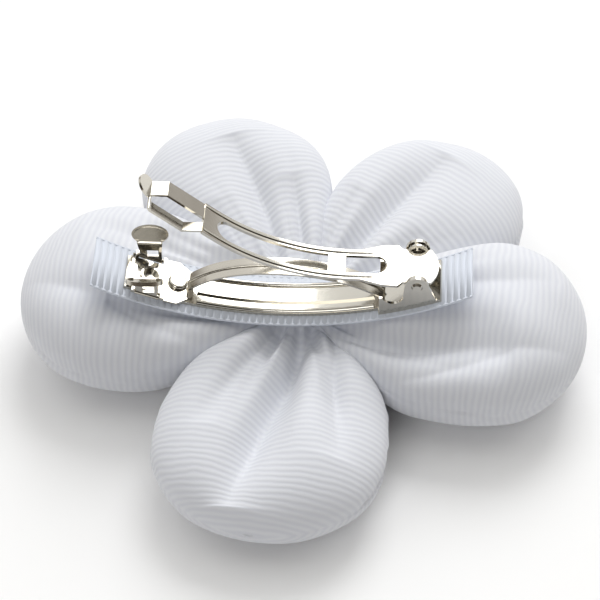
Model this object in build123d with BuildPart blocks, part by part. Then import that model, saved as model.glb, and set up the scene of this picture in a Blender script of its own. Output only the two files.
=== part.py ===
from build123d import *
import math
import os

os.makedirs("parts", exist_ok=True)

# Fabric flower hair clip, lying face down with its barrette upwards.
# Millimetres, +Z up. The origin is the middle of the flower's front face,
# +X runs along the barrette from its catch to its hinge.

# ---------------------------------------------------------------- dimensions
# Where the barrette sits on the flower's back
clip_x = -3.0
clip_y = -1.5
clip_z = 17.0

# Base strip: a shallow arc, its hollow side up
base_radius = 71.0
base_half_width = 4.0
base_sheet = 0.6
base_left = -30.2
base_right = 30.2
bead_left = -16.6
bead_right = 17.6
edge_bead_y = 3.3
edge_bead_radius = 0.55
centre_bead_width = 2.4
centre_bead_height = 0.45

# Hinge ears on the base and the hinge itself
hinge_x = 25.5
hinge_z = 10.4
ear_inner = 4.55
ear_sheet = 0.6
ear_start_x = 18.4
ear_front_x = 22.9
ear_back_x = 27.9
ear_foot_x = 29.4
ear_hook_z = 6.9
scoop_x = 20.95
scoop_z = 7.6
scoop_radius = 2.0
hump_radius = 2.3
rivet_radius = 0.8
rivet_head_radius = 1.1
rivet_head = 0.45
inner_head_radius = 0.95
inner_head = 0.3
stitch_hole_x = 28.6
stitch_hole_y = 3.0
stitch_hole_radius = 0.45
arm_ear_outer = 4.45
arm_ear_sheet = 0.6
arm_ear_radius = 1.95
running_fit = 0.05

# Clasp arm
arm_sheet = 0.6
arm_half_width = 3.75
rail_bead_y = 3.0
rail_bead_radius = 0.42
slot_half_width = 2.2
short_slot = (11.9, 17.6)
long_slot = (-9.8, 8.6)
plate_back_x = 28.0
plate_tip_x = 29.5
plate_notch_radius = 1.9
plate_notch_y = 5.0

# Eyelet at the arm's tip: a far strand that stays in line with the arm and a
# near strand that drops below it, joined by a cross bar and a finger lip
eyelet_start_x = -14.6
eyelet_start_z = 22.2
eyelet_angle = 42.0
eyelet_sheet = 0.5
eyelet_half_width = 3.4
far_strand_inner = -0.1
near_strand_inner = -1.3
far_strand_slope = 8.6
far_strand_flat = 3.2
near_strand_flat = 3.7
near_strand_slope = 7.7
lip_lean = 34.0
lip_radius = 2.3
lip_y = 1.5
lip_rise = 1.1

# Bow spring between base and arm
bow_half_width = 2.1
bow_sheet = 0.35

# Catch: bracket, two sprung jaws and their pins
catch_x = -26.1
bracket_sheet = 0.5
bracket_front = -17.5
bracket_step = -22.9
bracket_end = -29.9
bracket_half_width = 5.2
bracket_taper_x = -20.4
bracket_front_half_width = 2.5
floor_half_width = 3.7
catch_rivet_x = -20.6
catch_rivet_radius = 1.0
lug_sink = 0.3
lug_thickness = 0.6
lug_gap = 0.15
eyelet_hole = (-1.3, 2.5)
dome_radius = 1.9
dome_height = 0.8
jaw_y = 4.7
jaw_sheet = 0.5
jaw_foot_radius = 0.5
jaw_foot_length = 4.8
jaw_pin_radius = 0.22
jaw_pivot_height = 0.95
jaw_top_z = 9.9
pad_tilt = 30.0
pad_half_length = 3.55
pad_half_height = 1.9

# Ribbon
ribbon_half_width = 6.35
ribbon_thickness = 0.4
ribbon_left = -36.0
ribbon_right = 35.8

# Petals: letter, direction, half angle to the left and right neighbour,
# length, half width and half thickness
petal_table = (
    ("a", 174.5, 39.3, 35.0, 54.0, 20.8, 12.2),
    ("b", 113.5, 26.0, 31.5, 56.0, 19.0, 9.6),
    ("c", 50.5, 31.5, 26.0, 56.5, 19.0, 9.6),
    ("d", -4.5, 29.0, 43.5, 54.5, 20.8, 12.2),
    ("e", 262.5, 48.5, 48.3, 51.5, 21.6, 9.8),
)
petal_gap = 0.7
petal_inner = 5.5
petal_sink = 0.6
skin_side = 0.8
skin_flat = 1.5
fill_play = 0.5

# Covered button at the middle of the front
button_radius = 8.6
button_height = 5.0
button_skin = 0.5
button_shell = 0.6
thread_ring_radius = 3.0
thread_radius = 0.35


# ------------------------------------------------------------ helper planes
def arc_angle(x):
    """Slope of the base at distance x along the barrette, in radians."""
    return math.asin(x / base_radius)


def arc_height(x):
    """Height of the base's underside at x."""
    return base_radius * (1 - math.cos(arc_angle(x)))


def section_at(x):
    """Plane across the base at x: its x runs along +Y, its y away from the flower."""
    slope = arc_angle(x)
    return Plane(
        origin=(clip_x + x, clip_y, clip_z + arc_height(x)),
        x_dir=(0, 1, 0),
        z_dir=(math.cos(slope), 0, math.sin(slope)),
    )


def floor_plane(x):
    """Plane lying on the base's underside at x, its normal away from the flower."""
    slope = arc_angle(x)
    return Plane(
        origin=(clip_x + x, clip_y, clip_z + arc_height(x)),
        x_dir=(math.cos(slope), 0, math.sin(slope)),
        z_dir=(-math.sin(slope), 0, math.cos(slope)),
    )


side = Plane(origin=(clip_x, clip_y, clip_z), x_dir=(1, 0, 0), z_dir=(0, -1, 0))
plan = Plane(origin=(clip_x, clip_y, clip_z))
middle = Plane(origin=(clip_x, clip_y, clip_z), x_dir=(1, 0, 0), z_dir=(0, 1, 0))
arc_axis = Axis((clip_x, clip_y, clip_z + base_radius), (0, -1, 0))


def arc_between(x_from, x_to):
    """Angle swept about the arc's axis between two stations, in degrees."""
    return math.degrees(arc_angle(x_to) - arc_angle(x_from))


def arc_point(x, height):
    """Point in the side plane, at a height above the base's underside at x."""
    radius = base_radius - height
    return (radius * math.sin(arc_angle(x)), base_radius - radius * math.cos(arc_angle(x)))


def arc_outline(x_from, x_to):
    """Closed outline of the base's sheet between two stations, in the side plane."""
    x_mid = (x_from + x_to) / 2
    with BuildLine() as outline:
        ThreePointArc(arc_point(x_from, 0), arc_point(x_mid, 0), arc_point(x_to, 0))
        Line(arc_point(x_to, 0), arc_point(x_to, base_sheet))
        ThreePointArc(arc_point(x_to, base_sheet), arc_point(x_mid, base_sheet), arc_point(x_from, base_sheet))
        Line(arc_point(x_from, base_sheet), arc_point(x_from, 0))
    return outline.edges()


# -------------------------------------------------------------- base plate
with BuildPart() as base_plate:
    # The plain strip
    with BuildSketch(side):
        make_face(arc_outline(base_left, base_right))
    extrude(amount=base_half_width, both=True)
    # The wider end that carries the hinge ears
    with BuildSketch(side):
        make_face(arc_outline(ear_start_x, base_right))
    extrude(amount=ear_inner + ear_sheet, both=True)
    # Hole for the catch rivet
    with BuildSketch(floor_plane(catch_rivet_x)):
        Circle(catch_rivet_radius)
    extrude(amount=2 * base_sheet, both=True, mode=Mode.SUBTRACT)
    # Stiffening beads pressed along the strip
    with BuildSketch(section_at(bead_left)):
        with Locations((-edge_bead_y, base_sheet), (edge_bead_y, base_sheet)):
            Circle(edge_bead_radius)
        with Locations((0, base_sheet)):
            Rectangle(centre_bead_width, 2 * centre_bead_height)
        with Locations((0, -base_sheet)):
            Rectangle(4 * base_half_width, 2 * base_sheet + base_sheet, mode=Mode.SUBTRACT)
    revolve(axis=arc_axis, revolution_arc=arc_between(bead_left, bead_right))
    # Two upright ears with a scoop in front of the pivot
    for ear_side in (-1, 1):
        ear_offset = ear_side * (ear_inner + ear_sheet / 2)
        with BuildSketch(side.offset(ear_offset)):
            with BuildLine():
                Polyline(
                    arc_point(ear_start_x, base_sheet / 2),
                    (ear_start_x, ear_hook_z),
                    (19.0, ear_hook_z),
                    (ear_front_x, 7.5),
                    (ear_front_x + 0.3, hinge_z),
                    (ear_back_x - 0.2, hinge_z),
                    arc_point(ear_foot_x, base_sheet / 2),
                )
                ThreePointArc(
                    arc_point(ear_foot_x, base_sheet / 2),
                    arc_point(24.0, base_sheet / 2),
                    arc_point(ear_start_x, base_sheet / 2),
                )
            make_face()
            with Locations((scoop_x, scoop_z)):
                Circle(scoop_radius, mode=Mode.SUBTRACT)
            with Locations((hinge_x, hinge_z)):
                Circle(hump_radius)
                Circle(rivet_radius, mode=Mode.SUBTRACT)
        extrude(amount=ear_sheet / 2, both=True)
    # Two small stitch holes at the hinge end
    with BuildSketch(floor_plane(stitch_hole_x)):
        with Locations((0, -stitch_hole_y), (0, stitch_hole_y)):
            Circle(stitch_hole_radius)
    extrude(amount=2 * base_sheet, both=True, mode=Mode.SUBTRACT)
base_plate.part.label = "base_plate"
export_step(base_plate.part, "parts/base_plate.step")

# ---------------------------------------------------------------- bow spring
with BuildPart() as bow_spring:
    with BuildLine(side) as bow_line:
        Spline((-17.9, 4.45), (-12.9, 7.6), (-2.6, 9.6), (8.7, 8.4), (19.0, 3.75))
    with BuildSketch(Plane(origin=bow_line.line @ 0, x_dir=(0, 1, 0), z_dir=bow_line.line % 0)):
        Rectangle(2 * bow_half_width, bow_sheet)
        with Locations((0, bow_sheet / 2)):
            Circle(0.32)
    sweep(path=bow_line.line)
bow_spring.part.label = "bow_spring"
export_step(bow_spring.part, "parts/bow_spring.step")

# ----------------------------------------------------------------- clasp arm
def along_slope(start, length):
    """Point reached from a start by going up the eyelet's slope, in the side plane."""
    slope = math.radians(eyelet_angle)
    return (start[0] - length * math.cos(slope), start[1] + length * math.sin(slope))


eyelet_start = (eyelet_start_x, eyelet_start_z)
far_bend = along_slope(eyelet_start, far_strand_slope)
eyelet_tip = (far_bend[0] - far_strand_flat, far_bend[1])
near_bend = (eyelet_start_x - near_strand_flat, eyelet_start_z)
near_end = along_slope(near_bend, near_strand_slope)

with BuildPart() as clasp_arm:
    # Beaded strip from the hinge plate up to the loop
    with BuildLine(side) as arm_line:
        Spline(
            (17.0, hinge_z + 0.1),
            (15.0, hinge_z + 0.1),
            (8.8, 10.8),
            (-0.8, 13.2),
            (-8.6, 17.3),
            (eyelet_start_x + 1.5, eyelet_start_z - 1.35),
            eyelet_start,
        )
    with BuildSketch(Plane(origin=arm_line.line @ 0, x_dir=(0, 1, 0), z_dir=arm_line.line % 0)):
        Rectangle(2 * arm_half_width, arm_sheet)
        with Locations((rail_bead_y, -arm_sheet / 4), (-rail_bead_y, -arm_sheet / 4)):
            Circle(rail_bead_radius)
        with Locations((rail_bead_y, arm_sheet / 4), (-rail_bead_y, arm_sheet / 4)):
            Circle(rail_bead_radius)
    sweep(path=arm_line.line)
    # Hinge plate with shoulders and a rounded outer end
    with BuildSketch(plan.offset(hinge_z + 0.1 - arm_sheet / 2)):
        with BuildLine():
            Polyline((plate_back_x, 4.2), (22.7, 4.2), (21.8, 5.2), (18.8, 5.0), (14.8, arm_half_width))
            Line((14.8, arm_half_width), (14.8, -arm_half_width))
            Polyline((14.8, -arm_half_width), (18.8, -5.0), (21.8, -5.2), (22.7, -4.2), (plate_back_x, -4.2))
            ThreePointArc((plate_back_x, -4.2), (plate_tip_x, 0), (plate_back_x, 4.2))
        make_face()
        with Locations((hinge_x, plate_notch_y), (hinge_x, -plate_notch_y)):
            Circle(plate_notch_radius, mode=Mode.SUBTRACT)
    extrude(amount=arm_sheet)
    # Short slot beside the plate and long slot between the rails
    with BuildSketch(plan):
        for slot_from, slot_to in (short_slot, long_slot):
            with Locations(((slot_from + slot_to) / 2, 0)):
                Rectangle(slot_to - slot_from, 2 * slot_half_width)
        with Locations((short_slot[1], 0), (long_slot[0], 0)):
            Circle(slot_half_width)
    extrude(amount=40, mode=Mode.SUBTRACT)
    # Pivot ears standing inside the base's ears, each with a bore for its rivet
    for ear_side in (-1, 1):
        ear_offset = ear_side * (arm_ear_outer - arm_ear_sheet / 2)
        with BuildSketch(side.offset(ear_offset)):
            with Locations((hinge_x, hinge_z)):
                Circle(arm_ear_radius)
        extrude(amount=arm_ear_sheet / 2, both=True)
        with BuildSketch(side.offset(ear_side * (arm_ear_outer - arm_ear_sheet - inner_head - 0.1))):
            with Locations((hinge_x, hinge_z)):
                Circle(inner_head_radius + running_fit)
        extrude(amount=ear_side * (inner_head + 0.1), mode=Mode.SUBTRACT)
        with BuildSketch(side.offset(ear_offset)):
            with Locations((hinge_x, hinge_z)):
                Circle(rivet_radius + running_fit)
        extrude(amount=arm_ear_sheet, both=True, mode=Mode.SUBTRACT)
    # Far strand: up the slope, then level to the tip
    with BuildSketch(side.offset(-(eyelet_half_width + far_strand_inner) / 2)):
        with BuildLine():
            Polyline(eyelet_start, far_bend, eyelet_tip)
        trace(line_width=eyelet_sheet)
    extrude(amount=(eyelet_half_width - far_strand_inner) / 2, both=True)
    # Near strand: level, then up the slope to the tip
    with BuildSketch(side.offset((eyelet_half_width - near_strand_inner) / 2)):
        with BuildLine():
            Polyline(eyelet_start, near_bend, near_end, eyelet_tip)
        trace(line_width=eyelet_sheet)
    extrude(amount=(eyelet_half_width + near_strand_inner) / 2, both=True)
    # Cross bar at the tip and the rounded lip that a finger lifts
    with BuildSketch(side):
        with Locations(eyelet_tip):
            Circle(0.6 * eyelet_sheet)
    extrude(amount=eyelet_half_width, both=True)
    lean = math.radians(lip_lean)
    lip_plane = Plane(
        origin=(clip_x + eyelet_tip[0], clip_y, clip_z + eyelet_tip[1]),
        x_dir=(0, 1, 0),
        z_dir=(math.cos(lean), 0, math.sin(lean)),
    )
    with BuildSketch(lip_plane):
        with Locations((lip_y, lip_rise)):
            Circle(lip_radius)
        with Locations((lip_y, -lip_radius)):
            Rectangle(3 * lip_radius, 2 * lip_radius, mode=Mode.SUBTRACT)
    extrude(amount=eyelet_sheet / 2, both=True)
clasp_arm.part.label = "clasp_arm"
export_step(clasp_arm.part, "parts/clasp_arm.step")

# -------------------------------------------------------------- hinge rivets
with BuildPart() as hinge_rivets:
    for rivet_side in (-1, 1):
        inner_face = arm_ear_outer - arm_ear_sheet - running_fit
        with BuildSketch(side.offset(rivet_side * inner_face)):
            with Locations((hinge_x, hinge_z)):
                Circle(rivet_radius)
        extrude(amount=rivet_side * (ear_inner + ear_sheet - inner_face))
        with BuildSketch(side.offset(rivet_side * inner_face)):
            with Locations((hinge_x, hinge_z)):
                Circle(inner_head_radius)
        extrude(amount=-rivet_side * inner_head)
        with BuildSketch(side.offset(rivet_side * (ear_inner + ear_sheet))):
            with Locations((hinge_x, hinge_z)):
                Circle(rivet_head_radius)
        extrude(amount=rivet_side * rivet_head, taper=35)
hinge_rivets.part.label = "hinge_rivets"
export_step(hinge_rivets.part, "parts/hinge_rivets.step")

# ------------------------------------------------------------- catch bracket
bracket_bottom = base_sheet
catch_plane = floor_plane(catch_x)
with BuildPart() as catch_bracket:
    with BuildSketch(section_at(bracket_step)):
        with Locations((0, bracket_bottom + bracket_sheet / 2)):
            Rectangle(2 * bracket_half_width, bracket_sheet)
    revolve(axis=arc_axis, revolution_arc=arc_between(bracket_step, bracket_front))
    # Its front narrows towards the bow spring
    with BuildSketch(plan):
        for taper_side in (-1, 1):
            Polygon(
                (bracket_taper_x, taper_side * (bracket_half_width + 0.2)),
                (bracket_front + 1, taper_side * (bracket_half_width + 0.2)),
                (bracket_front + 1, taper_side * (bracket_front_half_width - 0.4)),
                align=None,
            )
    extrude(amount=12, mode=Mode.SUBTRACT)
    with BuildSketch(section_at(bracket_end)):
        with Locations((0, bracket_bottom + bracket_sheet / 2)):
            Rectangle(2 * floor_half_width, bracket_sheet)
    revolve(axis=arc_axis, revolution_arc=arc_between(bracket_end, bracket_step + 0.3))
    # Four lugs that hold the ends of the jaw pins
    with BuildSketch(catch_plane.offset(bracket_bottom + lug_sink)):
        for lug_side in (-1, 1):
            with Locations((lug_side * (jaw_foot_length / 2 + lug_gap + lug_thickness / 2), 0)):
                Rectangle(lug_thickness, 2 * (jaw_y + 0.5))
    extrude(amount=1.0 - lug_sink)
    # Low end wall
    with BuildSketch(catch_plane.offset(bracket_bottom + lug_sink)):
        with Locations((-3.55, 0)):
            Rectangle(0.5, 2 * floor_half_width)
    extrude(amount=1.5 - lug_sink)
    # Raised eyelet and the round hole with a turned-up rim
    with BuildSketch(catch_plane.offset(bracket_bottom + lug_sink)):
        with Locations(eyelet_hole):
            Circle(0.95)
        with Locations((0.3, 0.0)):
            Circle(2.0)
    extrude(amount=bracket_sheet + 0.45 - lug_sink)
    with BuildSketch(catch_plane):
        with Locations(eyelet_hole):
            Circle(0.4)
        with Locations((0.3, 0.0)):
            Circle(1.6)
    extrude(amount=3.0, mode=Mode.SUBTRACT)
    # Holes for the jaw pins and for the rivet
    with BuildSketch(section_at(catch_x)):
        with Locations((-jaw_y, jaw_pivot_height), (jaw_y, jaw_pivot_height)):
            Circle(jaw_pin_radius)
    extrude(amount=6, both=True, mode=Mode.SUBTRACT)
    with BuildSketch(floor_plane(catch_rivet_x)):
        Circle(catch_rivet_radius)
    extrude(amount=2.0, both=True, mode=Mode.SUBTRACT)
catch_bracket.part.label = "catch_bracket"
export_step(catch_bracket.part, "parts/catch_bracket.step")

# -------------------------------------------------------------- catch rivet
rivet_plane = floor_plane(catch_rivet_x)
with BuildPart() as catch_rivet:
    with BuildSketch(floor_plane(catch_rivet_x)):
        Circle(catch_rivet_radius)
    extrude(amount=base_sheet + bracket_sheet + 0.04)
    with BuildSketch(floor_plane(catch_rivet_x).offset(base_sheet + bracket_sheet + 0.04)):
        Circle(dome_radius)
    extrude(amount=dome_height)
    fillet(catch_rivet.edges().sort_by(Axis(rivet_plane.origin, rivet_plane.z_dir))[-1], radius=0.7 * dome_height)
catch_rivet.part.label = "catch_rivet"
export_step(catch_rivet.part, "parts/catch_rivet.step")

# --------------------------------------------------------------- catch jaws
pivot = catch_plane.from_local_coords((0, 0, jaw_pivot_height))
pad_rad = math.radians(pad_tilt)
pad_out = (0, math.cos(pad_rad), math.sin(pad_rad))
pad_root = (pivot.X, clip_y + jaw_y, clip_z + jaw_top_z)
pad_plane = Plane(
    origin=(pad_root[0], pad_root[1] + 1.7 * pad_out[1], pad_root[2] + 1.7 * pad_out[2]),
    x_dir=(1, 0, 0),
    z_dir=(0, -math.sin(pad_rad), math.cos(pad_rad)),
)
with BuildPart() as catch_jaw_far:
    # Rolled foot round the pin
    with BuildSketch(section_at(catch_x)):
        with Locations((jaw_y, jaw_pivot_height)):
            Circle(jaw_foot_radius)
    extrude(amount=jaw_foot_length / 2, both=True)
    # Upright wall with a window
    with BuildSketch(side.offset(-jaw_y)):
        Polygon(
            (-27.6, arc_height(-27.6) + 1.25),
            (-23.85, arc_height(-23.7) + 1.25),
            (-23.3, jaw_top_z + 0.35),
            (-28.2, jaw_top_z + 0.35),
            align=None,
        )
        with Locations((-25.3, 7.4)):
            Rectangle(2.2, 1.6, mode=Mode.SUBTRACT)
    extrude(amount=jaw_sheet / 2, both=True)
    # Snap flange turned in at the hinge side
    with BuildSketch(plan.offset(6.3)):
        with Locations((-23.75, jaw_y - 0.45)):
            Rectangle(0.5, 0.9)
    extrude(amount=2.2)
    # Oval finger pad with a raised rim
    with BuildSketch(pad_plane):
        Ellipse(pad_half_length, pad_half_height)
        with Locations((0, -pad_half_height + 0.45)):
            Rectangle(4.6, 1.1)
    extrude(amount=jaw_sheet / 2, both=True)
    with BuildSketch(pad_plane):
        Ellipse(pad_half_length, pad_half_height)
        Ellipse(pad_half_length - 0.4, pad_half_height - 0.4, mode=Mode.SUBTRACT)
        with Locations((0, -pad_half_height)):
            Rectangle(8, 1.6, mode=Mode.SUBTRACT)
    extrude(amount=0.55)
    # Bore for the pin
    with BuildSketch(section_at(catch_x)):
        with Locations((jaw_y, jaw_pivot_height)):
            Circle(jaw_pin_radius + running_fit)
    extrude(amount=jaw_foot_length, both=True, mode=Mode.SUBTRACT)
catch_jaw_far.part.label = "catch_jaw_far"
export_step(catch_jaw_far.part, "parts/catch_jaw_far.step")

with BuildPart() as catch_jaw_near:
    add(catch_jaw_far.part)
    mirror(about=middle, mode=Mode.REPLACE)
catch_jaw_near.part.label = "catch_jaw_near"
export_step(catch_jaw_near.part, "parts/catch_jaw_near.step")

with BuildPart() as jaw_pins:
    with BuildSketch(section_at(catch_x)):
        with Locations((-jaw_y, jaw_pivot_height), (jaw_y, jaw_pivot_height)):
            Circle(jaw_pin_radius)
    extrude(amount=jaw_foot_length / 2 + 0.75, both=True)
jaw_pins.part.label = "jaw_pins"
export_step(jaw_pins.part, "parts/jaw_pins.step")

# ------------------------------------------------------------------- ribbon
with BuildPart() as grosgrain_ribbon:
    with BuildSketch(section_at(ribbon_left)):
        with Locations((0, -ribbon_thickness / 2)):
            Rectangle(2 * ribbon_half_width, ribbon_thickness)
    revolve(axis=arc_axis, revolution_arc=arc_between(ribbon_left, ribbon_right))
grosgrain_ribbon.part.label = "grosgrain_ribbon"
export_step(grosgrain_ribbon.part, "parts/grosgrain_ribbon.step")

# ------------------------------------------------------------------- petals
# Stations along a petal as shares of its length, the half thickness there as a
# share of the whole, and how far the middle is lifted at the gathered end.
stations = (
    (0.00, 0.40, 3.4),
    (0.12, 0.62, 2.4),
    (0.28, 0.88, 0.9),
    (0.46, 1.00, 0.0),
    (0.64, 1.00, 0.0),
    (0.80, 0.88, 0.0),
    (0.92, 0.64, 0.0),
    (1.00, 0.28, 0.0),
)


def petal_half_width(reach, half_angle, length, half_width):
    """Half width of a petal at a distance from the flower's middle."""
    wedge = reach * math.tan(math.radians(half_angle)) - petal_gap / math.cos(math.radians(half_angle))
    widest = 0.64 * length
    if reach > widest:
        share = (reach - widest) / (length + 1.2 - widest)
        rounded = half_width * math.sqrt(1 - share * share)
    else:
        share = (widest - reach) / widest
        rounded = half_width * (1 - 0.35 * share * share)
    return min(wedge, rounded)


def petal_sections(direction, left, right, length, half_width, half_thick, side_skin, flat_skin):
    """Cross sections of one petal, in order along its direction, ready to loft."""
    turn = math.radians(direction)
    outward = (math.cos(turn), math.sin(turn), 0)
    first = petal_inner + side_skin
    last = length - side_skin
    sections = []
    for share, thick, lift in stations:
        reach = first + share * (last - first)
        to_left = petal_half_width(reach, left, length, half_width)
        to_right = petal_half_width(reach, right, length, half_width)
        plane = Plane(
            origin=(reach * outward[0], reach * outward[1], 0),
            x_dir=(-outward[1], outward[0], 0),
            z_dir=outward,
        )
        with BuildSketch(plane) as section:
            with Locations(((to_left - to_right) / 2, half_thick - petal_sink + lift)):
                Ellipse((to_left + to_right) / 2 - side_skin, half_thick * thick - flat_skin)
        sections.append(section.sketch.faces()[0])
    return sections


def keep_out(clearance):
    """What a petal gives way to: the table, the button and the ribbon's seat."""
    with BuildPart() as taken:
        with Locations((0, 0, clearance - 10)):
            Box(140, 140, 20)
        with Locations((0, 0, (button_height + 1.0 + clearance) / 2)):
            Cylinder(radius=button_radius + 0.6 + clearance, height=button_height + 1.0 + clearance)
        with Locations((clip_x, clip_y, clip_z + base_radius)):
            Cylinder(
                radius=base_radius + ribbon_thickness + clearance,
                height=2 * (ribbon_half_width + clearance),
                rotation=(90, 0, 0),
            )
    return taken.part


outer_limits = keep_out(0.3)
room_limits = keep_out(0.3 + skin_side)
fill_limits = keep_out(0.3 + skin_side + fill_play)

for letter, direction, left, right, length, half_width, half_thick in petal_table:
    shape = (direction, left, right, length, half_width, half_thick)
    with BuildPart() as petal_room:
        loft(sections=petal_sections(*shape, skin_side, skin_flat))
        add(room_limits, mode=Mode.SUBTRACT)
    with BuildPart() as petal_cover:
        loft(sections=petal_sections(*shape, 0.0, 0.0))
        add(outer_limits, mode=Mode.SUBTRACT)
        add(petal_room.part, mode=Mode.SUBTRACT)
    petal_cover.part.label = "petal_cover_" + letter
    export_step(petal_cover.part, "parts/petal_cover_" + letter + ".step")
    with BuildPart() as petal_fill:
        loft(sections=petal_sections(*shape, skin_side + fill_play, skin_flat + fill_play))
        add(fill_limits, mode=Mode.SUBTRACT)
    petal_fill.part.label = "petal_fill_" + letter
    export_step(petal_fill.part, "parts/petal_fill_" + letter + ".step")

# --------------------------------------------------- button and gather thread
with BuildPart() as button_cover:
    with BuildSketch(Plane.XZ):
        with BuildLine():
            Line((0, 0), (4.5, 0))
            ThreePointArc((4.5, 0), (7.4, 1.3), (button_radius, button_height))
            Line((button_radius, button_height), (button_radius - button_skin, button_height))
            ThreePointArc(
                (button_radius - button_skin, button_height), (7.0, 1.7), (4.4, button_skin)
            )
            Line((4.4, button_skin), (0, button_skin))
            Line((0, button_skin), (0, 0))
        make_face()
    revolve(axis=Axis.Z)
button_cover.part.label = "button_cover"
export_step(button_cover.part, "parts/button_cover.step")

shell_radius = button_radius - button_skin - 0.1
with BuildPart() as button_shell_part:
    with BuildSketch(Plane.XZ):
        with BuildLine():
            Line((0, button_skin + 0.1), (4.3, button_skin + 0.1))
            ThreePointArc((4.3, button_skin + 0.1), (6.8, 1.85), (shell_radius, button_height))
            Line((shell_radius, button_height), (shell_radius - button_shell, button_height))
            ThreePointArc(
                (shell_radius - button_shell, button_height),
                (6.3, 2.3),
                (4.1, button_skin + 0.1 + button_shell),
            )
            Line((4.1, button_skin + 0.1 + button_shell), (0, button_skin + 0.1 + button_shell))
            Line((0, button_skin + 0.1 + button_shell), (0, button_skin + 0.1))
        make_face()
    revolve(axis=Axis.Z)
button_shell_part.part.label = "button_shell"
export_step(button_shell_part.part, "parts/button_shell.step")

with BuildPart() as button_back:
    with Locations((0, 0, button_height - 1.0)):
        Cylinder(radius=6.6, height=1.2)
    with Locations((0, 0, button_height + 1.2)):
        Cylinder(radius=1.6, height=4.4)
    with BuildSketch(Plane.XZ):
        with Locations((0, button_height + 2.0)):
            Circle(0.7)
    extrude(amount=3, both=True, mode=Mode.SUBTRACT)
button_back.part.label = "button_back"
export_step(button_back.part, "parts/button_back.step")

with BuildPart() as gather_thread:
    with BuildSketch(Plane.XZ):
        for turn_number in range(3):
            with Locations((thread_ring_radius, 9.4 + turn_number * 2.4 * thread_radius)):
                Circle(thread_radius)
    revolve(axis=Axis.Z)
gather_thread.part.label = "gather_thread"
export_step(gather_thread.part, "parts/gather_thread.step")
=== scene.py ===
# %% [markdown]
# # A fabric flower hair clip
# The flower is five stuffed petals of fine-wale ribbed cotton, gathered to one point. It lies on its
# front, so its back is up, and on the back a sprung nickel-plated barrette is fixed over a length of
# grosgrain ribbon. The metal comes from the frame as it is. Every soft piece is made here.

import math

import bmesh
import bpy
import numpy as np
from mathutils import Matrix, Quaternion, Vector


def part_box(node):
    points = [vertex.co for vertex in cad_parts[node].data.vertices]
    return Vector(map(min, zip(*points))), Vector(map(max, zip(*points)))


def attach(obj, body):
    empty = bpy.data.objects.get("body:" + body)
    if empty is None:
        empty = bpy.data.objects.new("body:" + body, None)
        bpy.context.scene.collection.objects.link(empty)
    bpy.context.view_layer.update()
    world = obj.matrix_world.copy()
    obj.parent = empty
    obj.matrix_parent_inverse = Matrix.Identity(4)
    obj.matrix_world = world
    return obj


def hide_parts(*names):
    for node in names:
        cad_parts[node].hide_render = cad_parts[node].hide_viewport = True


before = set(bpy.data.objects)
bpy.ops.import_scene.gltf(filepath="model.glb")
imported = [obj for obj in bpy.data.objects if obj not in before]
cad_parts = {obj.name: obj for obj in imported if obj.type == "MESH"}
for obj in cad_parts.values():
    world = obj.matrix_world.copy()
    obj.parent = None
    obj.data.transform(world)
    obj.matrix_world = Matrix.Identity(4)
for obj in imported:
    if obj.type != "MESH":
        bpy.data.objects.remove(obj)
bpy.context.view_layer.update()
MM = 0.001
ROOT_BODY = "flower_and_base"


# %% [markdown]
# ## Colours and nodes
# Colours are written as sRGB hex, the way a swatch is read, and shaders want linear values, so one
# function turns one into the other. A second small function adds a shader node, fills in its
# settings and joins its links, which keeps each material short enough to read at a glance.


# %% Colour and node helpers
def linear(hex_colour):
    """sRGB hex such as "C0C8D8" to a linear RGBA tuple."""
    parts = [int(hex_colour[i : i + 2], 16) / 255 for i in (0, 2, 4)]
    return (*[p / 12.92 if p <= 0.04045 else ((p + 0.055) / 1.055) ** 2.4 for p in parts], 1.0)


def node(tree, kind, inputs=None, **settings):
    """Adds one node. An input value that is a node's output socket is linked, any other is set."""
    made = tree.nodes.new(kind)
    for name, value in settings.items():
        setattr(made, name, value)
    for name, value in (inputs or {}).items():
        if isinstance(value, bpy.types.NodeSocket):
            tree.links.new(value, made.inputs[name])
        else:
            made.inputs[name].default_value = value
    return made


def new_material(name):
    """An empty node material with its output, ready for a Principled shader."""
    made = bpy.data.materials.new(name)
    made.use_nodes = True
    made.node_tree.nodes.clear()
    return made, made.node_tree


def finish_material(tree, shader):
    """Joins the shader to the material's output."""
    node(tree, "ShaderNodeOutputMaterial", {"Surface": shader.outputs[0]})


# %% [markdown]
# ## Ribbed cotton
# The petals are a fine-wale ribbed cotton, with soft raised ribs across each petal. Each rib is a
# real 1.4 mm wide and stands under 0.1 mm proud. Modelled ribs would cost far too many faces, so they
# are a wave of the petal's own UV map, which is laid out in millimetres along and across the cloth. A
# little noise bends them, because cloth is never held quite straight, and lint roughens the surface.


# %% Ribbed cotton
RIB_PITCH_MM = 1.4
RIB_HEIGHT_MM = 0.09
RIB_DRIFT_MM = 2.6  # how far a rib wanders from a straight line
DRIFT_SCALE = 0.09  # slow wandering, one swing in about 11 mm of cloth
LINT_SCALE = 2.2  # loose fibres, about half a millimetre apart
LINT_SHARE = 0.35  # height of the lint beside that of a rib


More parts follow.
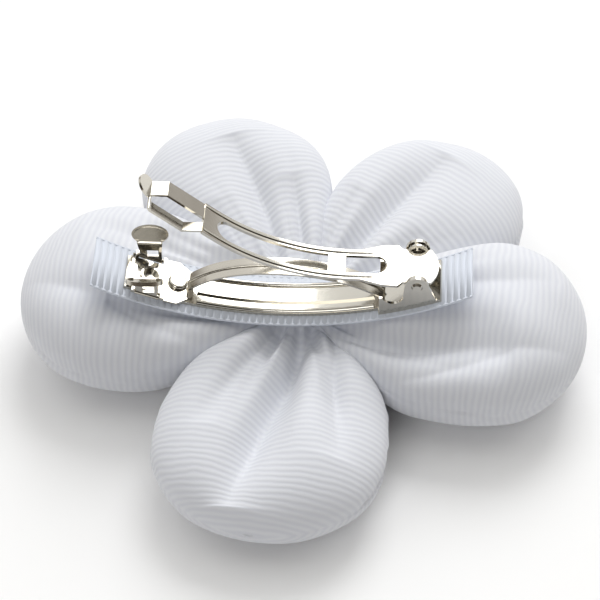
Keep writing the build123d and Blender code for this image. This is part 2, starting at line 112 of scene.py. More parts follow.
def ribbed_cotton(name, colour, painted_groove_shade):
    """White ribbed cotton: matt, a little fuzzy, with painted shade darkening the grooves between the
    ribs.
    """
    made, tree = new_material(name)
    uv = node(tree, "ShaderNodeUVMap", uv_map="cloth")
    drift = node(
        tree,
        "ShaderNodeTexNoise",
        {"Vector": uv.outputs[0], "Scale": DRIFT_SCALE, "Detail": 2.0},
    )
    along = node(tree, "ShaderNodeSeparateXYZ", {"Vector": uv.outputs[0]})
    bent = node(
        tree,
        "ShaderNodeMath",
        {0: drift.outputs[0], 1: RIB_DRIFT_MM, 2: along.outputs["Y"]},
        operation="MULTIPLY_ADD",
    )
    turns = node(
        tree,
        "ShaderNodeMath",
        {0: bent.outputs[0], 1: 2 * math.pi / RIB_PITCH_MM},
        operation="MULTIPLY",
    )
    wave = node(tree, "ShaderNodeMath", {0: turns.outputs[0]}, operation="SINE")
    rib = node(
        tree,
        "ShaderNodeMapRange",
        {"Value": wave.outputs[0], "From Min": -1.0, "From Max": 0.9},
    )
    lint = node(
        tree,
        "ShaderNodeTexNoise",
        {"Vector": uv.outputs[0], "Scale": LINT_SCALE, "Detail": 3.0},
    )
    height = node(
        tree,
        "ShaderNodeMath",
        {0: lint.outputs[0], 1: LINT_SHARE, 2: rib.outputs[0]},
        operation="MULTIPLY_ADD",
    )
    # painted shade: the colour is mixed darker in the grooves between the ribs, where shade falls
    groove_shaded_colour = node(
        tree,
        "ShaderNodeMix",
        {"Factor": rib.outputs[0], "A": linear(painted_groove_shade), "B": linear(colour)},
        data_type="RGBA",
    )
    bump = node(
        tree,
        "ShaderNodeBump",
        {"Height": height.outputs[0], "Strength": 0.5, "Distance": RIB_HEIGHT_MM * MM},
    )
    shader = node(
        tree,
        "ShaderNodeBsdfPrincipled",
        {
            "Base Color": groove_shaded_colour.outputs["Result"],
            "Roughness": 0.92,
            "Sheen Weight": 0.25,
            "Sheen Roughness": 0.5,
            "Normal": bump.outputs[0],
        },
    )
    finish_material(tree, shader)
    return made


# the second colour is the painted shade in the grooves between the ribs
petal_cloth = ribbed_cotton("ribbed_cotton_white", "DEE0E5", "D6D8DF")
print("material:", petal_cloth.name)

# %% [markdown]
# ## The petals
# A petal is two layers of cloth sewn round the edge, turned and stuffed, with its open end gathered
# on a thread. It could be sculpted by hand, but a rule gives the same puffed shape each time: rings
# run round the petal from the gathered end to the tip, wide in the middle and pinched where the
# neighbours press. Folds are then pushed into the rings. Short sharp ones start at the gather and
# die out along the petal, and each petal has its own long soft valleys.

# %% Petal outlines
ribbon_low, ribbon_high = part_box("grosgrain_ribbon")
base_low, base_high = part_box("base_plate")
CLIP_MIDDLE = Vector(((base_low.x + base_high.x) / 2, (base_low.y + base_high.y) / 2, base_low.z))
BASE_RADIUS = 71 * MM
RIBBON_HALF_WIDTH = (ribbon_high.y - ribbon_low.y) / 2
RIBBON_THICKNESS = 0.4 * MM
print("ribbon width mm:", round(2 * RIBBON_HALF_WIDTH / MM, 2))

# direction in degrees, half angle to each neighbour, length, half width, half thickness (mm)
PETALS = {
    "a": dict(turn=174.5, left=40.5, right=36.5, length=55.0, half_width=21.6, half_thick=12.0),
    "b": dict(turn=113.5, left=28.0, right=33.0, length=57.0, half_width=19.8, half_thick=9.8),
    "c": dict(turn=50.5, left=33.0, right=28.0, length=57.5, half_width=19.8, half_thick=9.8),
    "d": dict(turn=-4.5, left=31.0, right=45.0, length=55.5, half_width=21.6, half_thick=12.0),
    "e": dict(turn=262.5, left=50.0, right=50.0, length=52.5, half_width=22.2, half_thick=9.8),
}
print("petals:", len(PETALS))

# %% Valleys in the back of each petal
# where each starts and ends along the petal, sideways place at each end, depth and half width at
# each end, all in mm
VALLEYS = {
    "a": [
        dict(start=6, end=36, side=(6.0, 9.0), depth=5.5, wide=(3.2, 6.0)),
        dict(start=8, end=44, side=(-3.0, -9.0), depth=2.4, wide=(2.5, 6.0)),
        dict(start=22, end=54, side=(13.0, 4.0), depth=1.6, wide=(2.5, 4.5)),
    ],
    "b": [
        dict(start=3, end=46, side=(0.5, -2.5), depth=6.0, wide=(1.6, 4.6)),
        dict(start=3, end=32, side=(-3.5, -9.0), depth=2.6, wide=(1.2, 3.4)),
        dict(start=5, end=30, side=(3.5, 9.0), depth=2.0, wide=(1.2, 3.2)),
    ],
    "c": [
        dict(start=3, end=48, side=(-0.5, 3.5), depth=6.0, wide=(1.6, 4.8)),
        dict(start=3, end=30, side=(3.5, 10.0), depth=2.4, wide=(1.2, 3.2)),
        dict(start=5, end=28, side=(-3.5, -8.0), depth=1.8, wide=(1.2, 3.0)),
    ],
    "d": [
        dict(start=4, end=42, side=(-5.0, -10.5), depth=8.0, wide=(3.4, 7.0)),
        dict(start=10, end=50, side=(3.0, 6.0), depth=2.2, wide=(2.4, 5.5)),
        dict(start=26, end=55, side=(-15.0, -8.0), depth=1.4, wide=(2.0, 4.0)),
    ],
    "e": [
        dict(start=2, end=50, side=(3.5, -4.5), depth=10.5, wide=(1.5, 5.2)),
        dict(start=3, end=38, side=(7.0, 14.0), depth=3.4, wide=(1.6, 4.0)),
        dict(start=3, end=34, side=(-3.0, -12.0), depth=2.8, wide=(1.4, 4.2)),
    ],
}
print("valleys:", sum(len(valleys) for valleys in VALLEYS.values()))


# %% Outline of a petal
GATHER_REACH = 3.0  # mm from the flower's middle to the gathered end
WIDEST_SHARE = 0.64  # where a petal is widest, as a share of its length
CORNER_MM = 2.2  # how softly the pressed side turns into the rounded tip


def petal_half_width(reach, half_angle, petal):
    """Half width in mm at each reach: pressed between its neighbours, then rounded to the tip."""
    wedge = reach * math.tan(math.radians(half_angle)) + 0.6
    widest = WIDEST_SHARE * petal["length"]
    past = np.clip((reach - widest) / (petal["length"] - widest), 0, 1)
    before = np.clip((widest - reach) / widest, 0, 1)
    rounded = petal["half_width"] * np.where(
        reach > widest, np.sqrt(1 - past**2), 1 - 0.35 * before**2
    )
    smaller = -CORNER_MM * np.log(np.exp(-wedge / CORNER_MM) + np.exp(-rounded / CORNER_MM))
    ends = np.clip((petal["length"] - reach) / 1.5, 0, 1)
    return np.maximum(smaller * ends + rounded * (1 - ends), 0)


# %% Folds and gentle unevenness
PLEATS = 34  # short sharp folds round the gathered end
BACK_SHARE = 0.6  # the share of them that fall on the petal's back


def fold_depths(valleys, reach, across, face, seed):
    """How far inwards, in mm, the cloth is folded at each point. face is 1 on the back, -1 in front."""
    rng = np.random.default_rng(seed)
    total = np.zeros_like(across)
    for valley in valleys:
        share = np.clip((reach - valley["start"]) / (valley["end"] - valley["start"]), 0, 1)
        middle = valley["side"][0] + share * (valley["side"][1] - valley["side"][0])
        wide = valley["wide"][0] + share * (valley["wide"][1] - valley["wide"][0])
        strength = valley["depth"] * np.sin(np.pi * np.clip(share * 0.8 + 0.2, 0, 1)) ** 0.7
        near = np.exp(-np.abs((across - middle) / wide) ** 1.25)
        total += strength * near * (face > 0)
    for _ in range(PLEATS):
        place = rng.uniform(-1, 1)
        side = 1 if rng.uniform() < BACK_SHARE else -1
        fade = rng.uniform(10, 26)
        depth = rng.uniform(0.7, 2.0)
        splay = rng.uniform(0.85, 1.15)
        middle = place * splay * (1.6 + 0.42 * reach)
        wide = 0.42 + 0.05 * reach
        grow = np.clip((reach - GATHER_REACH) / 4, 0, 1)
        strength = depth * grow * np.exp(-(((reach - GATHER_REACH) / fade) ** 2))
        near = np.exp(-np.abs((across - middle) / wide) ** 1.35)
        total += strength * near * (face * side > 0)
    return total


def smooth_noise(rng, u, v, wavelength, count=7):
    """A gentle random surface: a few crossed waves of about one wavelength."""
    total = np.zeros_like(u)
    for _ in range(count):
        angle = rng.uniform(0, 2 * math.pi)
        length = wavelength * rng.uniform(0.7, 1.5)
        phase = rng.uniform(0, 2 * math.pi)
        total += np.sin(2 * np.pi * (u * math.cos(angle) + v * math.sin(angle)) / length + phase)
    return total / count


# %% Points of a petal
RINGS = 150
AROUND = 200
THICK_SHARE = 0.42  # a petal is plump from this share of its length onwards
TIP_SHARE = 0.55  # and grows thinner towards its tip after this one
SWELL_MM = 0.55
SWELL_WAVE_MM = 17.0
PUCKER_MM = 0.35
PUCKER_WAVE_MM = 4.2
GATHER_LIFT_MM = 3.2  # the gathered end is pulled up towards the back
SHAPE_SEED = 40
FOLD_SEED = 7


def petal_points(letter, petal):
    """Rings of points in mm, with a UV that runs along and across the cloth in mm."""
    rng = np.random.default_rng(SHAPE_SEED + ord(letter))
    length = petal["length"]
    turn = math.radians(petal["turn"])
    steps = np.linspace(0, 1, RINGS)
    reach = GATHER_REACH + (length - GATHER_REACH) * np.sin(steps * math.pi / 2) ** 1.15
    reach[-1] = length - 0.02
    to_left = petal_half_width(reach, petal["left"], petal)
    to_right = petal_half_width(reach, petal["right"], petal)
    half = np.maximum((to_left + to_right) / 2, 0.05)
    centre = (to_left - to_right) / 2
    share = (reach - GATHER_REACH) / (length - GATHER_REACH)
    rise = np.clip(share / THICK_SHARE, 0, 1)
    plump = 0.42 + 0.58 * np.sin(rise * math.pi / 2)
    fall = np.clip((share - TIP_SHARE) / 0.45, 0, 1)
    thick = petal["half_thick"] * plump * np.sqrt(np.maximum(1 - fall**2.6, 0.0))
    thick = np.maximum(thick, 0.03)
    lift = GATHER_LIFT_MM * (1 - rise) ** 1.5
    angles = np.linspace(0, 2 * math.pi, AROUND, endpoint=False)
    at_reach, at_turn = np.meshgrid(reach, angles, indexing="ij")
    # powers a little under 1 make the section fuller than an ellipse
    cos_t = np.sign(np.cos(at_turn)) * np.abs(np.cos(at_turn)) ** 0.92
    sin_t = np.sign(np.sin(at_turn)) * np.abs(np.sin(at_turn)) ** 0.96
    across = half[:, None] * cos_t
    fold_seed = FOLD_SEED + ord(letter)
    depth = fold_depths(VALLEYS[letter], at_reach, across, np.sign(sin_t), fold_seed)
    depth = depth * np.abs(sin_t) ** 0.5
    room = np.clip(thick[:, None] * 1.35 * np.abs(sin_t), 0.2, None)
    depth = room * np.tanh(depth / room)
    face_apart = across * np.sign(sin_t) + 60 * (sin_t < 0)
    swell = SWELL_MM * smooth_noise(rng, at_reach, face_apart, SWELL_WAVE_MM)
    seam = np.exp(-((sin_t / 0.2) ** 2)) * np.clip((at_reach - 14) / 10, 0, 1)
    wrinkle = smooth_noise(rng, at_reach, at_turn * 20.0, PUCKER_WAVE_MM, 9)
    pucker = seam * (PUCKER_MM * wrinkle - 0.25)
    from_gather = np.clip((at_reach - GATHER_REACH) / 12, 0, 1)
    from_tip = np.clip((length - at_reach) / 4, 0, 1)
    outwards = (swell + pucker) * from_gather * from_tip
    z_size = thick[:, None] * sin_t
    z_size = z_size - np.sign(sin_t) * depth + outwards * sin_t
    side = centre[:, None] + across + outwards * cos_t
    z = petal["half_thick"] - 0.6 + lift[:, None] + z_size
    x = at_reach * math.cos(turn) - side * math.sin(turn)
    y = at_reach * math.sin(turn) + side * math.cos(turn)
    # the weave runs straight across the cloth, and turns down over the end with it
    ending = np.clip((at_reach / length - 0.45) / 0.6, 0, 1) ** 2
    along = at_reach + 0.8 * ending * (petal["half_thick"] - np.abs(z_size))
    return x, y, z, along, across + 0.5 * z_size


# %% [markdown]
# ## Where the clip presses
# The ribbon is pulled down into the stuffing, and the cloth swells up on both sides of it. A cloth
# simulation could find that shape. A height limit that is lowest under the ribbon and rises beside it
# is quicker, and it gives the same shape on every run.

# %% Seat pressed by the clip
SEAT_GAP_MM = 0.25  # the cloth stays this far under the ribbon
EASE_MM = 1.5  # depth over which the pressed cloth rounds off


def press_under_clip(x, y, z):
    """The ribbon and barrette press a seat into the petals; the cloth bulges beside it."""
    along = x * MM - CLIP_MIDDLE.x
    bow = BASE_RADIUS - np.sqrt(np.maximum(BASE_RADIUS**2 - along**2, 0))
    seat = (CLIP_MIDDLE.z + bow - RIBBON_THICKNESS) / MM - SEAT_GAP_MM
    sideways = np.abs(y * MM - CLIP_MIDDLE.y) / MM
    beside = np.maximum(sideways - RIBBON_HALF_WIDTH / MM - 0.2, 0)
    limit = seat + 0.32 * beside + 0.05 * beside**2
    over = z - limit
    eased = limit - EASE_MM / (1 + np.exp(np.clip(over / EASE_MM * 2 + 1, -20, 20)))
    return np.where(over > -0.8, np.minimum(z, np.minimum(eased + 0.4, limit)), z)


# %% [markdown]
# ## From rings to a skin
# Neighbouring rings are joined by four-sided faces and each end is closed with a cap, so that the skin
# has no holes. The petals, the ribbon's strips and the button are all made by this one function.


# %% Rings of points to a closed mesh
def mesh_from_rings(name, x, y, z, uv_along, uv_across, material):
    """Closed skin from rings of points, its first and last ring closed with a cap."""
    rings, around = x.shape
    points = np.stack([x, y, z], axis=-1).reshape(-1, 3) * MM
    first_cap = points[:around].mean(0)
    last_cap = points[-around:].mean(0)
    points = np.vstack([points, first_cap, last_cap])
    faces = []
    for i in range(rings - 1):
        for j in range(around):
            k = (j + 1) % around
            this_ring, next_ring = i * around, (i + 1) * around
            faces.append((this_ring + j, this_ring + k, next_ring + k, next_ring + j))
    first, last = rings * around, rings * around + 1
    for j in range(around):
        k = (j + 1) % around
        faces.append((k, j, first))
        faces.append((first - around + j, first - around + k, last))
    mesh = bpy.data.meshes.new(name)
    mesh.from_pydata([tuple(p) for p in points], [], faces)
    flat_along = np.append(uv_along.reshape(-1), [uv_along[0].mean(), uv_along[-1].mean()])
    flat_across = np.append(uv_across.reshape(-1), [0.0, 0.0])
    layer = mesh.uv_layers.new(name="cloth")
    corner = np.empty(len(mesh.loops), dtype=np.int64)
    mesh.loops.foreach_get("vertex_index", corner)
    uv = np.stack([flat_across[corner], flat_along[corner]], axis=-1)
    layer.data.foreach_set("uv", uv.reshape(-1).astype(np.float32))
    mesh.polygons.foreach_set("use_smooth", [True] * len(mesh.polygons))
    mesh.materials.append(material)
    tidy = bmesh.new()
    tidy.from_mesh(mesh)
    bmesh.ops.recalc_face_normals(tidy, faces=tidy.faces)
    tidy.to_mesh(mesh)
    tidy.free()
    made = bpy.data.objects.new(name, mesh)
    bpy.context.scene.collection.objects.link(made)
    return made


# %% Make the five petals
FLOOR_GAP_MM = 0.15  # the front stays just clear of the table
for letter, petal in PETALS.items():
    x, y, z, along, across = petal_points(letter, petal)
    z = press_under_clip(x, y, z)
    z = np.maximum(z, FLOOR_GAP_MM * np.exp(np.minimum(z, 0) / 3.0))
    made = mesh_from_rings("petal_" + letter, x, y, z, along, across, petal_cloth)
    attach(made, ROOT_BODY)
    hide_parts("petal_cover_" + letter, "petal_fill_" + letter)
    print(made.name, "faces", len(made.data.polygons), "top mm", round(float(z.max()), 1))

# %% [markdown]
# ## Grosgrain ribbon
# Grosgrain is woven with thick weft cords, so ribs run across it from edge to edge. Each rib is a
# real thing about 1.35 mm wide, so a Geometry Nodes tree sets one short rounded bar at every pitch
# along the arc that the barrette's base gives the ribbon. A thin woven strip closes the grooves.

# %% Grosgrain material
RIBBON_PITCH_MM = 1.35
RIBBON_THREAD_MM = 0.35


def woven_ribbon(name):
    """Smooth satin-like polyester weave: finer and a little shinier than the petals' cotton."""
    made, tree = new_material(name)
    place = node(tree, "ShaderNodeTexCoord")
    thread_scale = 1 / (RIBBON_THREAD_MM * MM)
    threads = node(
        tree,
        "ShaderNodeTexNoise",
        {"Vector": place.outputs["Object"], "Scale": thread_scale, "Detail": 2.0},
    )
    bump = node(
        tree,
        "ShaderNodeBump",
        {"Height": threads.outputs[0], "Strength": 0.35, "Distance": 0.05 * MM},
    )
    shader = node(
        tree,
        "ShaderNodeBsdfPrincipled",
        {
            "Base Color": linear("D9DFEA"),
            "Roughness": 0.62,
            "Sheen Weight": 0.3,
            "Sheen Roughness": 0.4,
            "Normal": bump.outputs[0],
        },
    )
    finish_material(tree, shader)
    return made


ribbon_cloth = woven_ribbon("woven_grosgrain_white")
print("material:", ribbon_cloth.name)


# %% Ribbon geometry nodes
RIB_SQUASH = 0.36  # a rib is this flat beside a round cord


def rib_tree():
    """Bars of a given size along an arc: sizes and count come in as named inputs."""
    tree = bpy.data.node_groups.new("ribbon_ribs", "GeometryNodeTree")
    tree.interface.new_socket("Geometry", in_out="OUTPUT", socket_type="NodeSocketGeometry")
    for name, kind in (
        ("Ribs", "NodeSocketInt"),
        ("Arc radius", "NodeSocketFloat"),
        ("Start angle", "NodeSocketFloat"),
        ("Step angle", "NodeSocketFloat"),
        ("Rib length", "NodeSocketFloat"),
        ("Rib radius", "NodeSocketFloat"),
        ("Cloth", "NodeSocketMaterial"),
    ):
        tree.interface.new_socket(name, in_out="INPUT", socket_type=kind)
    given = node(tree, "NodeGroupInput")
    line = node(tree, "GeometryNodeMeshLine", {"Count": given.outputs["Ribs"]})
    index = node(tree, "GeometryNodeInputIndex")
    angle = node(
        tree,
        "ShaderNodeMath",
        {0: index.outputs[0], 1: given.outputs["Step angle"], 2: given.outputs["Start angle"]},
        operation="MULTIPLY_ADD",
    )
    sine = node(tree, "ShaderNodeMath", {0: angle.outputs[0]}, operation="SINE")
    cosine = node(tree, "ShaderNodeMath", {0: angle.outputs[0]}, operation="COSINE")
    radius = given.outputs["Arc radius"]
    out_x = node(tree, "ShaderNodeMath", {0: sine.outputs[0], 1: radius}, operation="MULTIPLY")
    down = node(tree, "ShaderNodeMath", {0: cosine.outputs[0], 1: radius}, operation="MULTIPLY")
    out_z = node(tree, "ShaderNodeMath", {0: radius, 1: down.outputs[0]}, operation="SUBTRACT")
    where = node(tree, "ShaderNodeCombineXYZ", {"X": out_x.outputs[0], "Z": out_z.outputs[0]})
    placed = node(
        tree,
        "GeometryNodeSetPosition",
        {"Geometry": line.outputs[0], "Position": where.outputs[0]},
    )
    bar = node(
        tree,
        "GeometryNodeMeshCylinder",
        {
            "Vertices": 10,
            "Radius": given.outputs["Rib radius"],
            "Depth": given.outputs["Rib length"],
        },
    )
    lying = node(
        tree,
        "GeometryNodeTransform",
        {"Geometry": bar.outputs[0], "Rotation": (math.pi / 2, 0, 0), "Scale": (1.0, RIB_SQUASH, 1.0)},
    )
    minus = node(tree, "ShaderNodeMath", {0: angle.outputs[0], 1: -1.0}, operation="MULTIPLY")
    tilt = node(tree, "ShaderNodeCombineXYZ", {"Y": minus.outputs[0]})
    bars = node(
        tree,
        "GeometryNodeInstanceOnPoints",
        {"Points": placed.outputs[0], "Instance": lying.outputs[0], "Rotation": tilt.outputs[0]},
    )
    real = node(tree, "GeometryNodeRealizeInstances", {"Geometry": bars.outputs[0]})
    coloured = node(
        tree,
        "GeometryNodeSetMaterial",
        {"Geometry": real.outputs[0], "Material": given.outputs["Cloth"]},
    )
    smooth = node(tree, "GeometryNodeSetShadeSmooth", {"Geometry": coloured.outputs[0]})
    node(tree, "NodeGroupOutput", {"Geometry": smooth.outputs[0]})
    return tree


def run_tree(name, tree, values):
    """Runs a tree once on an empty mesh and returns its result as a plain mesh object."""
    seed = bpy.data.objects.new(name + "_seed", bpy.data.meshes.new(name + "_seed"))
    bpy.context.scene.collection.objects.link(seed)
    modifier = seed.modifiers.new("tree", "NODES")
    modifier.node_group = tree
    sockets = {s.name: s.identifier for s in tree.interface.items_tree if s.in_out == "INPUT"}
    for key, value in values.items():
        modifier[sockets[key]] = value
    graph = bpy.context.evaluated_depsgraph_get()
    mesh = bpy.data.meshes.new_from_object(seed.evaluated_get(graph))
    bpy.data.objects.remove(seed)
    made = bpy.data.objects.new(name, mesh)
    mesh.name = name
    bpy.context.scene.collection.objects.link(made)
    return made


# %% Make the ribbon's ribs
RIBBON_START = -36.0 * MM  # the two cut ends, along x from the clip's middle
RIBBON_END = 35.8 * MM
start_angle = math.asin(RIBBON_START / BASE_RADIUS)
end_angle = math.asin(RIBBON_END / BASE_RADIUS)
ribbon_middle_radius = BASE_RADIUS + RIBBON_THICKNESS / 2
rib_count = int((end_angle - start_angle) * ribbon_middle_radius / (RIBBON_PITCH_MM * MM))
step_angle = (end_angle - start_angle) / rib_count
ribbon_ribs = run_tree(
    "ribbon_ribs",
    rib_tree(),
    {
        "Ribs": rib_count,
        "Arc radius": ribbon_middle_radius,
        "Start angle": start_angle + step_angle / 2,
        "Step angle": step_angle,
        "Rib length": 2 * RIBBON_HALF_WIDTH - 0.3 * MM,
        "Rib radius": 0.46 * RIBBON_PITCH_MM * MM,
        "Cloth": ribbon_cloth,
    },
)
for vertex in ribbon_ribs.data.vertices:
    vertex.co += Vector((CLIP_MIDDLE.x, CLIP_MIDDLE.y, CLIP_MIDDLE.z - RIBBON_THICKNESS / 2))
print("ribbon ribs:", rib_count)


# %% Ribbon ground and selvages
RIBBON_STATIONS = 90
SELVAGE_WIDTH = 0.5 * MM
SELVAGE_THICKNESS = 0.42 * MM
GROUND_THICKNESS = 0.3 * MM


def ribbon_strip(name, y_from, y_to, thick, rows):
    """A closed strip that follows the base's arc, between two sides, with a rounded section."""
    corners = []
    for j in range(rows):
        turn = 2 * math.pi * j / rows
        flat_y = math.copysign(abs(math.cos(turn)) ** 0.5, math.cos(turn))
        side = (y_from + y_to) / 2 + flat_y * (y_to - y_from) / 2
        corners.append((side, thick / 2 * math.sin(turn)))
    x = np.zeros((RIBBON_STATIONS, rows))
    y = np.zeros((RIBBON_STATIONS, rows))
    z = np.zeros((RIBBON_STATIONS, rows))
    for i in range(RIBBON_STATIONS):
        angle = start_angle + (end_angle - start_angle) * i / (RIBBON_STATIONS - 1)
        for j, (side, up) in enumerate(corners):
            radius = ribbon_middle_radius - up
            x[i, j] = (CLIP_MIDDLE.x + radius * math.sin(angle)) / MM
            y[i, j] = (CLIP_MIDDLE.y + side) / MM
            z[i, j] = (CLIP_MIDDLE.z + BASE_RADIUS - radius * math.cos(angle)) / MM
    return mesh_from_rings(name, x, y, z, x, y, ribbon_cloth)


near_edge, far_edge = -RIBBON_HALF_WIDTH, RIBBON_HALF_WIDTH
ribbon_ground = ribbon_strip(
    "ribbon_ground", near_edge + 0.1 * MM, far_edge - 0.1 * MM, GROUND_THICKNESS, 24
)
selvages = [
    ribbon_strip("ribbon_selvage_near", near_edge, near_edge + SELVAGE_WIDTH, SELVAGE_THICKNESS, 12),
    ribbon_strip("ribbon_selvage_far", far_edge - SELVAGE_WIDTH, far_edge, SELVAGE_THICKNESS, 12),
]
for piece in (ribbon_ground, *selvages, ribbon_ribs):
    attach(piece, ROOT_BODY)
    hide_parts("grosgrain_ribbon")

# %% [markdown]
# ## Nickel plate
# The barrette is stamped from steel strip and barrel-plated with bright nickel. Plating follows
# every ripple of the rolled steel, so reflections wobble slightly, and nickel is a touch warmer than
# chrome. A weak, wide noise stands for that wobble, and a finer one dulls the gloss in places.


# %% Nickel material
RIPPLE_MM = 3.0  # waves left by rolling the strip
HAZE_MM = 0.6  # duller patches in the plating


def bright_nickel(name, colour, roughness):
    """Bright nickel over rolled steel: mirror-like, slightly warm, not quite even."""
    made, tree = new_material(name)
    place = node(tree, "ShaderNodeTexCoord")
    ripple = node(
        tree,
        "ShaderNodeTexNoise",
        {"Vector": place.outputs["Object"], "Scale": 1 / (RIPPLE_MM * MM), "Detail": 2.0},
    )
    haze = node(
        tree,
        "ShaderNodeTexNoise",
        {"Vector": place.outputs["Object"], "Scale": 1 / (HAZE_MM * MM), "Detail": 4.0},
    )
    gloss = node(
        tree,
        "ShaderNodeMapRange",
        {"Value": haze.outputs[0], "To Min": roughness * 0.7, "To Max": roughness * 1.5},
    )
    bump = node(
        tree,
        "ShaderNodeBump",
        {"Height": ripple.outputs[0], "Strength": 0.5, "Distance": 0.04 * MM},
    )
    shader = node(
        tree,
        "ShaderNodeBsdfPrincipled",
        {
            "Base Color": linear(colour),
            "Metallic": 1.0,
            "Roughness": gloss.outputs[0],
            "Normal": bump.outputs[0],
        },
    )
    finish_material(tree, shader)
    return made


nickel = bright_nickel("bright_nickel_plate", "CDC9BF", 0.13)
spring_nickel = bright_nickel("bright_nickel_spring", "C6C1B6", 0.17)
METAL_NODES = {
    "base_plate": nickel,
    "clasp_arm": nickel,
    "hinge_rivets": nickel,
    "catch_bracket": nickel,
    "catch_rivet": nickel,
    "jaw_pins": spring_nickel,
    "bow_spring": spring_nickel,
    "catch_jaw_far": spring_nickel,
    "catch_jaw_near": spring_nickel,
}
for name, metal in METAL_NODES.items():
    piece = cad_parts[name]
    piece.data.materials.clear()
    piece.data.materials.append(metal)
print("nickel pieces:", len(METAL_NODES))

# %% [markdown]
# ## The front: covered button and gathering thread
# On the flower's front, which faces the table, a cloth-covered button hides the gathered ends. Its
# cap is a shallow dome with the same ribbed cloth drawn over it, so a profile turned about its axis
# is enough.


# %% Button
def turned(name, profile, segments, material):
    """A closed solid turned about the flower's middle from a profile of (radius, height) in mm."""
    rings = len(profile)
    x = np.zeros((rings, segments))
    y = np.zeros((rings, segments))
    z = np.zeros((rings, segments))
    for i, (radius, height) in enumerate(profile):
        for j in range(segments):
            turn = 2 * math.pi * j / segments
            x[i, j] = radius * math.cos(turn)
            y[i, j] = radius * math.sin(turn)
            z[i, j] = height
    return mesh_from_rings(name, x, y, z, y, x, material)


DOME_STEPS = 24
button_low, button_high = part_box("button_cover")
button_radius = (button_high.x - button_low.x) / 2 / MM
button_height = button_high.z / MM
dome = []
for i in range(DOME_STEPS + 1):
    turn = i / DOME_STEPS * math.pi / 2
    dome.append((button_radius * math.sin(turn), button_height * (1 - math.cos(turn))))
dome[0] = (0.02, 0.0)  # a tiny ring in place of a point, for the cap to close
dome += [(button_radius - 0.25, button_height + 0.05), (button_radius - 0.6, button_height)]
button = turned("covered_button", dome, 96, petal_cloth)
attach(button, ROOT_BODY)
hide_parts("button_cover")
print("button radius mm:", round(button_radius, 1))

# %% [markdown]
# ## Gathering thread
# Behind the button, about three turns of strong sewing thread hold the petals' ends together. A
# spiral with a round section swept along it is a thread wound on itself, so Geometry Nodes make it
# from four sizes.


# %% Gathering thread
def sewing_thread(name):
    """Twisted polyester thread: a fine slanting twist and a soft shine."""
    made, tree = new_material(name)
    place = node(tree, "ShaderNodeTexCoord")
    twist = node(
        tree,
        "ShaderNodeTexWave",
        {"Vector": place.outputs["Object"], "Scale": 1 / (2.2 * MM), "Distortion": 1.0},
        bands_direction="DIAGONAL",
    )
    bump = node(
        tree,
        "ShaderNodeBump",
        {"Height": twist.outputs["Fac"], "Strength": 0.6, "Distance": 0.05 * MM},
    )
    shader = node(
        tree,
        "ShaderNodeBsdfPrincipled",
        {
            "Base Color": linear("E3E4E8"),
            "Roughness": 0.5,
            "Sheen Weight": 0.2,
            "Normal": bump.outputs[0],
        },
    )
    finish_material(tree, shader)
    return made


def coil_tree():
    """A thread wound in a short spiral: its sizes come in as named inputs."""
    tree = bpy.data.node_groups.new("thread_coil", "GeometryNodeTree")
    tree.interface.new_socket("Geometry", in_out="OUTPUT", socket_type="NodeSocketGeometry")
    for name, kind in (
        ("Turns", "NodeSocketFloat"),
        ("Coil radius", "NodeSocketFloat"),
        ("Coil height", "NodeSocketFloat"),
        ("Thread radius", "NodeSocketFloat"),
        ("Thread", "NodeSocketMaterial"),
    ):
        tree.interface.new_socket(name, in_out="INPUT", socket_type=kind)
    given = node(tree, "NodeGroupInput")
    spiral = node(
        tree,
        "GeometryNodeCurveSpiral",
        {
            "Resolution": 48,
            "Rotations": given.outputs["Turns"],
            "Start Radius": given.outputs["Coil radius"],
            "End Radius": given.outputs["Coil radius"],
            "Height": given.outputs["Coil height"],
        },
    )
    section = node(
        tree,
        "GeometryNodeCurvePrimitiveCircle",
        {"Resolution": 12, "Radius": given.outputs["Thread radius"]},
    )
    tube = node(
        tree,
        "GeometryNodeCurveToMesh",
        {"Curve": spiral.outputs[0], "Profile Curve": section.outputs[0], "Fill Caps": True},
    )
    real = node(tree, "GeometryNodeRealizeInstances", {"Geometry": tube.outputs[0]})
    coloured = node(
        tree,
        "GeometryNodeSetMaterial",
        {"Geometry": real.outputs[0], "Material": given.outputs["Thread"]},
    )
    smooth = node(tree, "GeometryNodeSetShadeSmooth", {"Geometry": coloured.outputs[0]})
    node(tree, "NodeGroupOutput", {"Geometry": smooth.outputs[0]})
    return tree


# %% Wind the thread
THREAD_RADIUS = 0.35 * MM
THREAD_TURNS = 3.2
thread_low, thread_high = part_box("gather_thread")
gather_thread = run_tree(
    "gathering_thread",
    coil_tree(),
    {
        "Turns": THREAD_TURNS,
        "Coil radius": (thread_high.x - thread_low.x) / 2 - THREAD_RADIUS,
        "Coil height": thread_high.z - thread_low.z - 2 * THREAD_RADIUS,
        "Thread radius": THREAD_RADIUS,
        "Thread": sewing_thread("white_sewing_thread"),
    },
)
for vertex in gather_thread.data.vertices:
    vertex.co.z += thread_low.z + THREAD_RADIUS
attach(gather_thread, ROOT_BODY)
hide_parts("gather_thread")
print("thread turns:", THREAD_TURNS, "faces", len(gather_thread.data.polygons))

# %% [markdown]
# ## Camera, lamps and floor
# A long lens from about half a metre keeps the flower's outline natural and looks down on it from a
# little over 45 degrees. Two square soft boxes light it, the stronger from behind. The floor is a
# plain white sweep that can be seen through from below, so the flower's front can be looked at too.


# %% Aim a camera or a lamp
def look_at(thing, target):
    """Turns a camera or light so that it looks at a point."""
    thing.rotation_mode = "QUATERNION"
    thing.rotation_quaternion = (target - thing.location).to_track_quat("-Z", "Y")


def soft_box(name, place, target, size, power):
    """A square studio light."""
    lamp = bpy.data.lights.new(name, "AREA")
    lamp.shape = "SQUARE"
    lamp.size = size
    lamp.energy = power
    made = bpy.data.objects.new(name, lamp)
    made.location = place
    bpy.context.scene.collection.objects.link(made)
    look_at(made, target)
    return made


